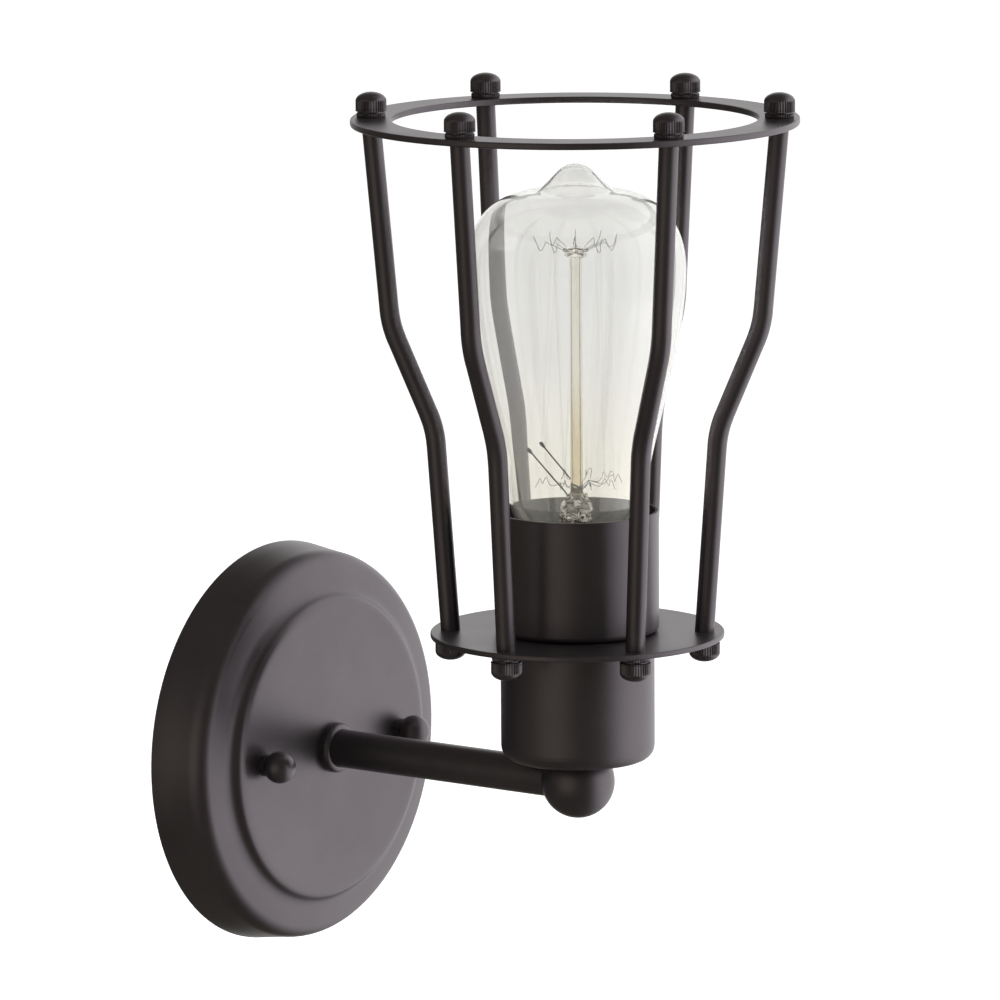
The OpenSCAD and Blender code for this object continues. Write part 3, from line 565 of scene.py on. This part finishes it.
# %% Knurled cap nuts on the ring and under the disc
RIBS = 36
RIB_DEPTH = 0.22 * MM
RIB_LOW = 0.1 * MM
RIB_FULL = 4.8 * MM
RIB_HIGH = 5.8 * MM
RIB_INSIDE_R = 4 * MM
DOME_R = 4.50
DOME_LOW = 4.75
DOME_H = 2.60
DOME_STEPS = 12
CAGE_TURN = math.radians(2.0)
NUT_CIRCLE_R = 59.144 * MM
FOOT_CIRCLE_R = 37.2 * MM
nut_foot = [(2.0, 0), (4.05, 0), (4.25, 0.2), (4.25, 1.1), (4.1, 1.3), (3.85, 1.35), (3.85, 1.62)]
nut_band = [(4.3, 1.68), (4.55, 1.8), (4.55, 2.05), (4.45, 2.2), (4.5, 2.4), (4.5, 3.4), (4.5, 4.3)]
nut_dome = [(DOME_R * math.cos(angle), DOME_LOW + DOME_H * math.sin(angle))
            for angle in (FULL_TURN / 4 * step / DOME_STEPS for step in range(DOME_STEPS + 1))]


def cap_nut(mesh, seat, upright):
    """One nut on its seat; upright is 1, or -1 for a nut that hangs."""
    verts = turned(mesh, in_mm(nut_foot + nut_band + nut_dome), 2 * RIBS)
    for vert in verts:
        step = round(math.atan2(vert.co.y, vert.co.x) / FULL_TURN * 2 * RIBS)
        if step % 2 and RIB_LOW < vert.co.z < RIB_HIGH and vert.co.xy.length > RIB_INSIDE_R:
            fade = min(1, (RIB_HIGH - vert.co.z) / (RIB_HIGH - RIB_FULL))
            vert.co.xy *= 1 - RIB_DEPTH * fade / vert.co.xy.length
    move(mesh, verts, Matrix.Translation(seat) @ Matrix.Diagonal((1, 1, upright, 1)))


def nut_ring(name, node, circle_r, height, upright):
    mesh = bmesh.new()
    for number in range(RODS_ROUND):
        angle = CAGE_TURN + FULL_TURN * number / RODS_ROUND
        seat = Vector((circle_r * math.cos(angle), circle_r * math.sin(angle), height))
        cap_nut(mesh, lamp_axis + seat, upright)
    show(name, mesh, [dark_bronze], "fixture", [node])


nut_ring("knurled_nuts_top", "top_cap_nuts", NUT_CIRCLE_R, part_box("top_cap_nuts")[0].z, 1)
nut_ring("knurled_nuts_bottom", "bottom_cap_nuts", FOOT_CIRCLE_R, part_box("bottom_cap_nuts")[1].z, -1)

# %% [markdown]
# ## The bulb's glass
#
# The bulb is blown: a pear with a soft shoulder and a small nipple where its tube was sealed off. Its
# outline is four curves that meet without a kink, from the throat in the cap up to the nipple. Spun
# round and given a wall, it bends the light as a real shell does, which draws the dark rim lines. Lamps
# would cast a black shadow of it, because glass blocks them in a ray tracer, so it casts no shadow.

# %% Blow the bulb
GLASS_WALL = 0.75 * MM
NIPPLE_CURVE = [(0, 142), (6, 142), (7.5, 135.2), (12, 134.3)]
DOME_CURVE = [(12, 134.3), (25.04, 133.1), (32.1, 124.05), (32.1, 111)]
BELLY_CURVE = [(32.1, 111), (32.1, 89.5), (21.5, 60.1), (19.6, 42.55)]
NECK_CURVE = [(19.6, 42.55), (18.6, 35.55), (12.55, 33.1), (12.55, 27)]
THROAT_H = 23
on_bulb = Matrix.Translation(lamp_axis + Vector((0, 0, bulb_foot)))


def bulb_outline():
    line = []
    for part, steps in ((NIPPLE_CURVE, 14), (DOME_CURVE, 22), (BELLY_CURVE, 26), (NECK_CURVE, 12)):
        line += curve(*part, steps=steps)[:-1]
    return in_mm(line + [NECK_CURVE[-1], (NECK_CURVE[-1][0], THROAT_H)])


mesh = bmesh.new()
turned(mesh, bulb_outline(), FINE_STEPS)
bmesh.ops.recalc_face_normals(mesh, faces=mesh.faces)
bmesh.ops.solidify(mesh, geom=mesh.faces[:], thickness=GLASS_WALL)
move(mesh, mesh.verts[:], on_bulb)
print("bulb widest radius in mm:", round(max(v.co.x for v in mesh.verts) / MM, 2))
bulb = show("bulb_shell", mesh, [clear_glass], "bulb", ["bulb_glass"], welded=False)
bulb.visible_shadow = False
bulb.visible_diffuse = False

# %% [markdown]
# ## The stem inside the bulb
#
# A flared tube is melted to the bulb's throat, and its top is pressed flat round the two leads. Out of
# the press stands a cream rod with a button of two rings. The flare, rod and button are turned, and
# rows of vertices all the way up the rod keep its shine straight. The press is a small block, cut into
# a fine grid, drawn in at its top and crumpled twice with noise, once coarsely and once finely, as the
# tongs leave it.

# %% Turn the flare, the rod and its button
ROD_R = 1.8
BUTTON_H = 116.4
PRESS_LOW = 34.0
PRESS_HIGH = 45.0
flare = [(11.2, 23.2), (11.4, 23.6)] + curve((11.4, 23.8), (5.7, 25.0), (4.2, 28.0), (4.2, 34.5), steps=14)
flare += [(3.2, 36.0), (1.6, 37.5), (0, 37.8)]
rod = [(0, PRESS_HIGH - 1), (2.3, PRESS_HIGH - 0.8), (2.1, PRESS_HIGH + 0.2), (ROD_R, PRESS_HIGH + 1.2)]
rod += [(ROD_R, height) for height in range(50, 114, 8)]
button = [(ROD_R, -1.9), (2.7, -1.75), (3.2, -1.4), (3.3, -1.0), (3.1, -0.6), (2.5, -0.4), (2.8, -0.2)]
button += [(3.55, -0.05), (3.75, 0.35), (3.55, 0.8), (2.8, 1.05), (1.2, 1.1), (0, 1.1)]
rod += [(radius, BUTTON_H + height) for radius, height in button]

mesh = bmesh.new()
move(mesh, turned(mesh, in_mm(flare), 64) + turned(mesh, in_mm(rod), 40), on_bulb)
show("bulb_stem_rod", mesh, [cream_glass], "bulb", ["bulb_stem"])

# %% Pinch and crumple the press
PRESS_WIDE = 9.2
PRESS_THICK = 3.4
PRESS_TAPER_H = 4
PRESS_TOP_SHARE = 0.62
PRESS_EDGE = 0.7 * MM
PRESS_TURN = math.radians(-55)
CRUMPLE_SEED = 7
noise.seed_set(CRUMPLE_SEED)


def crumple(verts, reach, per_metre):
    """Moves each vertex by up to the reach; the seed makes it the same in each run."""
    for vert in verts:
        vert.co += reach * noise.noise_vector(vert.co * per_metre)


mesh = bmesh.new()
block = Matrix.Translation((0, 0, (PRESS_LOW + PRESS_HIGH) / 2 * MM)) @ Matrix.Diagonal(
    (PRESS_WIDE * MM, PRESS_THICK * MM, (PRESS_HIGH - PRESS_LOW) * MM, 1))
bmesh.ops.create_cube(mesh, size=1, matrix=block)
bmesh.ops.bevel(mesh, geom=mesh.edges[:], offset=PRESS_EDGE, segments=2, profile=0.5, affect="EDGES",
                material=-1)
bmesh.ops.subdivide_edges(mesh, edges=mesh.edges[:], cuts=9, use_grid_fill=True)
for vert in mesh.verts:
    climbed = max(0, vert.co.z / MM - PRESS_HIGH + PRESS_TAPER_H) / PRESS_TAPER_H
    vert.co.x *= 1 - (1 - PRESS_TOP_SHARE) * min(1, climbed)
crumple(mesh.verts, 0.9 * MM, 420)
crumple(mesh.verts, 0.5 * MM, 1100)
move(mesh, mesh.verts[:], on_bulb @ Matrix.Rotation(PRESS_TURN, 4, "Z"))
show("bulb_stem_press", mesh, [press_glass], "bulb", ())

# %% [markdown]
# ## Hooks, filament and leads
#
# Nine hooks stand out of the button like spokes: each rises, dips in a narrow U and ends in a tip that
# points up. Eight more come out of the rod's foot and end in small waves. One hair-fine filament runs
# up and down between them, and two thicker leads carry its ends, each with a little clamped blob.
# Bent by hand, no two hooks are the same, so each point is moved a little by seeded chance. A path's
# points say how far out, how far aside and how high they are, in millimetres, and a hook's place round
# the rod is counted in steps from the side where the leads stand.

# %% Bend the hooks
LEAD_SIDE = math.radians(108)
HOOK_STEP = math.radians(18)
HOOK_R = 0.075 * MM
LOWER_H = 48.4
UPPER_STEPS = range(2, 20, 2)
LOWER_STEPS = (2.4, 4.8, 7, 9, 11, 13, 15, 17)
upper_path = [(3.3, 0, 0.3), (5.8, 0, 1.5), (8.3, 0, 2.7), (9.1, 0.1, 3.1), (9.8, 0.3, 2.0),
              (10.4, 0.5, 0.9), (11.0, 0.5, 0.6), (11.6, 0.3, 1.4), (12.1, 0.1, 3.0), (12.6, 0, 4.8)]
lower_path = [(1.8, 0, -1.8), (4.4, 0.2, 0.3), (7.6, 0.1, -0.3), (8.9, 0, 0.5), (9.9, 0.2, 2.3),
              (10.6, 0.4, 1.8), (11.2, 0.2, 0.4), (11.8, -0.2, 2.2), (12.5, -0.2, 1.7), (13.2, 0, -0.6)]
chance = random.Random(7)


def spoke(path, angle, height, wobble=0.35):
    """A bent hook's points, turned to its place round the bulb's axis."""
    turn_to = Matrix.Rotation(LEAD_SIDE + angle, 4, "Z")
    points = []
    for step, (out, side, up) in enumerate(path):
        loose = wobble * step / len(path)
        shift = Vector([chance.uniform(-loose, loose) for axis in range(3)])
        points.append(on_bulb @ turn_to @ ((Vector((out, side, up + height)) + shift) * MM))
    return points


upper_hooks = [spoke(upper_path, HOOK_STEP * place, BUTTON_H) for place in UPPER_STEPS]
lower_hooks = [spoke(lower_path, HOOK_STEP * place, LOWER_H, 0.6) for place in LOWER_STEPS]
mesh = bmesh.new()
for hook in upper_hooks + lower_hooks:
    wire(mesh, rounded(hook, 3), HOOK_R, 6)
show("hook_wires", mesh, [hook_steel], "bulb", ["filament_hooks"])

# %% Lead out the two thick wires
LEAD_R = 0.23 * MM
LEAD_H = 58.0
blob_line = [(0, -1.0), (0.45, -0.85), (0.55, -0.2), (0.55, 0.3), (0.4, 0.9), (0, 1.0)]


def lead_points(press_end, angle, reach, end_height):
    """A lead from one end of the press to its tip: out, sideways and up, in millimetres."""
    out = Vector((math.cos(angle), math.sin(angle), 0))
    foot = press_end * Vector((math.cos(PRESS_TURN), math.sin(PRESS_TURN), 0))
    start = foot + Vector((0, 0, PRESS_HIGH - 2))
    bend = foot * 1.05 + 0.5 * out + Vector((0, 0, PRESS_HIGH + 0.3))
    tip = reach * out + Vector((0, 0, end_height))
    path = [start, bend, bend.lerp(tip, 0.35), bend.lerp(tip, 0.7), tip]
    return [on_bulb @ (point * MM) for point in path]


leads = [lead_points(-2.4, LEAD_SIDE + HOOK_STEP, 13.7, LEAD_H),
         lead_points(2.0, LEAD_SIDE - HOOK_STEP, 12.4, LEAD_H + 0.6)]
mesh = bmesh.new()
for lead in leads:
    wire(mesh, rounded(lead, 4), LEAD_R, 10)
    way = (lead[-1] - lead[-2]).normalized()
    blob = turned(mesh, in_mm(blob_line), 10)
    crumple(blob, 0.12 * MM, 1500)
    move(mesh, blob, Matrix.Translation(lead[-1]) @ way.to_track_quat("Z", "Y").to_matrix().to_4x4())
show("lead_wires", mesh, [hook_steel], "bulb", ["filament_leads"])

# %% String the filament from hook to hook
FILAMENT_R = 0.022 * MM
IN_THE_DIP = slice(5, 8)
OVER_THE_WAVE = slice(4, 6)

strand = [leads[0][-1]]
for upper, lower in zip(upper_hooks, lower_hooks + [[]]):
    strand += upper[IN_THE_DIP] + lower[OVER_THE_WAVE]
strand.append(leads[1][-1])
mesh = bmesh.new()
wire(mesh, strand, FILAMENT_R, 5)
show("filament_strand", mesh, [tungsten], "bulb", ["filament"])

# %% [markdown]
# ## Screw threads
#
# The bulb's cap, the shell that it screws into, the studs and the wall screws all carry threads. The
# solids leave them plain, because a thread is fine detail. A turned skin with enough rows only has to
# be pushed in along a helix. The cap and the shell stay clear of each other at every height, because
# the cap's crests are narrower than the ones inside the shell.

# %% Roll the cap
LAMP_PITCH = 3.63 * MM
CAP_THREAD = 0.75 * MM
CAP_WALL = 0.5
cap_r = half_width("bulb_cap")
cap_mm = cap_r / MM
lip_mm = cap_mm - 0.15
mouth_mm = cap_mm - CAP_WALL
core_mm = cap_mm - 1.4
foot_mm = cap_mm - 2.5
cap_line = [(foot_mm - CAP_WALL, 3.4), (foot_mm, 3.4), (cap_mm - 0.3, 5.6)]
cap_line += [(cap_mm, height) for height in rows(5.9, 22.4, 0.3)]
cap_line += [(lip_mm, 22.7), (lip_mm, 26.2), (cap_mm, 26.5), (cap_mm, 26.85), (lip_mm, 27)]
cap_line += [(mouth_mm, 27), (mouth_mm, 22.9), (core_mm, 22.2), (core_mm, 6.2)]
cap_line += [(foot_mm - CAP_WALL, 3.9), (foot_mm - CAP_WALL, 3.4)]
mesh = bmesh.new()
cap = turned(mesh, in_mm(cap_line), 96)
threaded(cap, cap_r, LAMP_PITCH, CAP_THREAD, 5.8 * MM, 22.5 * MM, cap_r - 0.1 * MM)
move(mesh, cap, on_bulb)
show("bulb_cap_threaded", mesh, [brass], "bulb", ["bulb_cap"])

# %% Roll the shell
SHELL_THREAD = 0.2 * MM
ON_WALL = 0.01 * MM
shell_low, shell_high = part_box("screw_shell")
shell_h = (shell_high.z - shell_low.z) / MM
shell_out = half_width("screw_shell") / MM
shell_in = shell_out - CAP_WALL
floor_hole = shell_in - 3
shell_line = [(floor_hole, 0), (shell_out, 0), (shell_out, shell_h)]
shell_line += [(shell_in, height) for height in reversed(rows(CAP_WALL, shell_h, 0.35))]
shell_line += [(floor_hole, CAP_WALL), (floor_hole, 0)]
mesh = bmesh.new()
shell = turned(mesh, in_mm(shell_line), 96)
wall = [vert for vert in shell if abs(vert.co.xy.length - shell_in * MM) < ON_WALL]
threaded(wall, shell_in * MM, LAMP_PITCH, SHELL_THREAD, 2 * MM, (shell_h - 2) * MM)
move(mesh, shell, Matrix.Translation(lamp_axis + Vector((0, 0, shell_low.z))))
show("screw_shell_threaded", mesh, [brass], "fixture", ["screw_shell"])

# %% [markdown]
# ## Studs and wall screws
#
# Two studs run through the strap and the plate, and two screws hold the strap on the wall box. Their
# threads show from behind, and both are of one size. A stud is one threaded bar. A wall screw keeps the
# head of its solid, which is copied, welded and cut off at the back of the strap, where the wall plane
# is, and a threaded bar takes the place of the rest.

# %% Cut the threads of the studs
SCREW_PITCH = 0.79375 * MM
SCREW_THREAD = 0.36 * MM
SCREW_CHAMFER = 0.35 * MM


def threaded_bar(mesh, x, front, back):
    """A bar along Y from its front end to its back end, with a small chamfer at both."""
    length = back - front
    low, high = SCREW_CHAMFER, length - SCREW_CHAMFER
    line = [(0, 0), (STUD_R - SCREW_CHAMFER, 0)]
    line += [(STUD_R, height) for height in rows(low, high, SCREW_PITCH / 5)]
    line += [(STUD_R - SCREW_CHAMFER, length), (0, length)]
    bar = turned(mesh, line, 20)
    threaded(bar, STUD_R, SCREW_PITCH, SCREW_THREAD, low, high, STUD_R - SCREW_CHAMFER / 2)
    move(mesh, bar, Matrix.Translation((x, front, 0)) @ Matrix.Rotation(-FULL_TURN / 4, 4, "X"))


stud_low, stud_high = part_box("mounting_studs")
mesh = bmesh.new()
for side in (-1, 1):
    threaded_bar(mesh, side * stud_x, stud_low.y, stud_high.y)
show("studs_threaded", mesh, [zinc_steel], "fixture", ["mounting_studs"])

# %% Keep the heads of the wall screws and thread the rest
STRAP_BACK = 0.0
screw_low, screw_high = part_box("box_screws")
head_r = (screw_high.z - screw_low.z) / 2
mesh = bmesh.new()
mesh.from_mesh(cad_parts["box_screws"].data)
bmesh.ops.remove_doubles(mesh, verts=mesh.verts, dist=WELD / 2)
bmesh.ops.bisect_plane(mesh, geom=mesh.verts[:] + mesh.edges[:] + mesh.faces[:],
                       plane_co=(0, STRAP_BACK, 0), plane_no=(0, 1, 0), clear_outer=True)
bmesh.ops.holes_fill(mesh, edges=[edge for edge in mesh.edges if edge.is_boundary])
for side in (-1, 1):
    threaded_bar(mesh, side * (screw_high.x - head_r), STRAP_BACK, screw_high.y)
show("wall_screws_threaded", mesh, [zinc_steel], "fixture", ["box_screws"])

# %% [markdown]
# ## The two wires
#
# A black and a white wire run from behind the plate through the arm, round the elbow and up to the
# socket's screws. The solids are eight-sided, so they are drawn again as round wires along the same
# route: straight in the arm, a quarter turn in the ball, and straight up the nipple.

# %% Draw the wires
WIRE_R = 1.15 * MM
WIRE_X = 1.3 * MM
WIRE_BEND = 3.2 * MM
BEND_STEPS = 8
nipple_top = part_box("cup_nipple")[1].z


def inner_wire(node, side, material):
    """A wire from behind the plate to its terminal; side is 1 or -1."""
    low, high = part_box(node)
    x = side * WIRE_X
    end_x = side * (max(abs(low.x), abs(high.x)) - WIRE_R)
    points = [Vector((x, high.y, 0)), Vector((x, (high.y + lamp_axis.y) / 2, 0))]
    for step in range(BEND_STEPS + 1):
        angle = FULL_TURN / 4 * step / BEND_STEPS
        points.append(Vector((x, lamp_axis.y + WIRE_BEND * (1 - math.sin(angle)),
                              WIRE_BEND * (1 - math.cos(angle)))))
    upright = [(x, nipple_top), (x + side * 0.4 * MM, nipple_top + 2 * MM),
               (end_x - side * 0.2 * MM, high.z - 3 * MM), (end_x, high.z)]
    points += [Vector((across, lamp_axis.y, height)) for across, height in upright]
    mesh = bmesh.new()
    wire(mesh, points, WIRE_R, 20)
    show(node + "_round", mesh, [material], "fixture", [node])


inner_wire("hot_wire", 1, black_vinyl)
inner_wire("neutral_wire", -1, white_vinyl)

# %% [markdown]
# ## The room
#
# The photograph has a plain white ground. A white world gives it: the camera and the rays through glass
# see white, while the rest sees only the plain level of light that the world gives. What metal mirrors
# makes its look, so there the world is a dim, warm room with three bright sides: the white ground
# behind, a wide soft box on the right, and a pale wall on the left. Each side has the angle at which it
# stands, counted from the camera's back towards its right, the nearness to that way at which it begins
# and is full, and its colour.

# %% Set the world
WORLD_LEVEL = 0.42
WHITE = colour(1, 1, 1)
DIM_ROOM = colour(0.108, 0.100, 0.082)
SIDES_OF_ROOM = {
    "pale_wall": (-36, 0.80, 0.99, colour(0.40, 0.37, 0.315)),
    "white_ground": (172, 0.72, 0.98, colour(1.15, 1.15, 1.13)),
    "soft_box": (108, 0.30, 0.92, colour(1.38, 1.38, 1.40)),
}


def sum_of_rays(finish, *rays):
    """One for the named kinds of rays, nothing for all others."""
    share = sum(finish.node("ShaderNodeLightPath", output=ray) for ray in rays)
    return finish.node("ShaderNodeClamp", None, {"Value": share})


level_right = Vector((view_right.x, view_right.y, 0)).normalized()
level_back = Vector((view_back.x, view_back.y, 0)).normalized()

finish = Finish("world", bpy.data.worlds.new("world"))
scene.world = finish.material
looking = finish.node("ShaderNodeTexCoord", output="Generated")
mirrored = DIM_ROOM
for degrees, edge, full, side_colour in SIDES_OF_ROOM.values():
    angle = math.radians(degrees)
    way = math.cos(angle) * level_back + math.sin(angle) * level_right
    nearness = finish.node("ShaderNodeVectorMath", {"operation": "DOT_PRODUCT"}, {0: looking, 1: way},
                           output=1)
    mirrored = blend_colours(finish, spread(finish, nearness, edge, full), mirrored, side_colour)
level = colour(WORLD_LEVEL, WORLD_LEVEL, WORLD_LEVEL)
seen = blend_colours(finish, sum_of_rays(finish, "Is Glossy Ray"), level, mirrored)
seen = blend_colours(finish, sum_of_rays(finish, "Is Camera Ray", "Is Transmission Ray"), seen, WHITE)
sky = finish.node("ShaderNodeBackground", None, {"Color": seen})
finish.node("ShaderNodeOutputWorld", None, {"Surface": sky})
print("sides of the room:", list(SIDES_OF_ROOM), "nodes:", len(finish.tree.nodes))

# %% [markdown]
# ## The floor
#
# A very large white floor lies far under the light and keeps its shadow. It glows for the camera and
# for rays through glass, so that it is as white as the world, and seen from below it lets the camera
# through.

# %% Lay the floor
FLOOR_DROP = 0.30
FLOOR_SIZE = 40.0
FLOOR_GLOW = 0.70
FLOOR_PAINT = colour(0.82, 0.82, 0.82)

finish = Finish("floor")
plain = finish.node("ShaderNodeBsdfDiffuse", None, {"Color": FLOOR_PAINT})
glow = finish.node("ShaderNodeEmission", None, {"Color": WHITE, "Strength": FLOOR_GLOW})
lit = finish.node("ShaderNodeAddShader", None, {0: plain, 1: glow})
white_rays = sum_of_rays(finish, "Is Camera Ray", "Is Glossy Ray", "Is Transmission Ray")
floor_side = finish.node("ShaderNodeMixShader", None, {0: white_rays, 1: plain, 2: lit})
below = finish.node("ShaderNodeNewGeometry", output="Backfacing")
clear = finish.node("ShaderNodeBsdfTransparent")
both = finish.node("ShaderNodeMixShader", None, {0: below, 1: floor_side, 2: clear})
finish.node("ShaderNodeOutputMaterial", None, {"Surface": both})

mesh = bmesh.new()
floor_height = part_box("backplate")[0].z - FLOOR_DROP
bmesh.ops.create_grid(mesh, x_segments=1, y_segments=1, size=FLOOR_SIZE / 2,
                      matrix=Matrix.Translation((0, 0, floor_height)))
data = bpy.data.meshes.new("floor")
mesh.to_mesh(data)
mesh.free()
data.materials.append(finish.material)
floor = bpy.data.objects.new("floor", data)
floor.visible_glossy = False    # what metal mirrors is the room alone
scene.collection.objects.link(floor)
print("floor at a height of", round(floor_height, 3), "m")

# %% [markdown]
# ## Lamps
#
# A tall soft lamp stands to the right of the camera's view, a wide one hangs above, and a weaker one
# lifts the left. Their light is plain, so a colour renders as it is written. Their own square shapes
# would show as hard patches in the glass, so neither mirror rays nor rays through glass see them: what
# metal and glass show is the room alone. All three look at a place between the plate and the bulb.

# %% Hang the lamps
AIM = lamp_axis + Vector((0, 0.04, 0.09))


def soft_lamp(name, way, distance, wide, tall, power):
    lamp = bpy.data.lights.new(name, "AREA")
    lamp.shape = "RECTANGLE"
    lamp.size = wide
    lamp.size_y = tall
    lamp.energy = power
    place = bpy.data.objects.new(name, lamp)
    way = way.normalized()
    facing = way.to_track_quat("Z", "Y").to_matrix().to_4x4()
    place.matrix_world = Matrix.Translation(AIM + way * distance) @ facing
    place.visible_glossy = False
    place.visible_transmission = False
    scene.collection.objects.link(place)


upwards = Vector((0, 0, 1))
soft_lamp("lamp_right", level_right + 0.10 * level_back + 0.25 * upwards, 1.9, 0.8, 1.6, 32)
soft_lamp("lamp_top", upwards + 0.25 * level_right, 1.8, 1.2, 1.2, 30)
soft_lamp("lamp_left", -level_right + 0.5 * level_back + 0.35 * upwards, 2.2, 0.7, 1.2, 9)
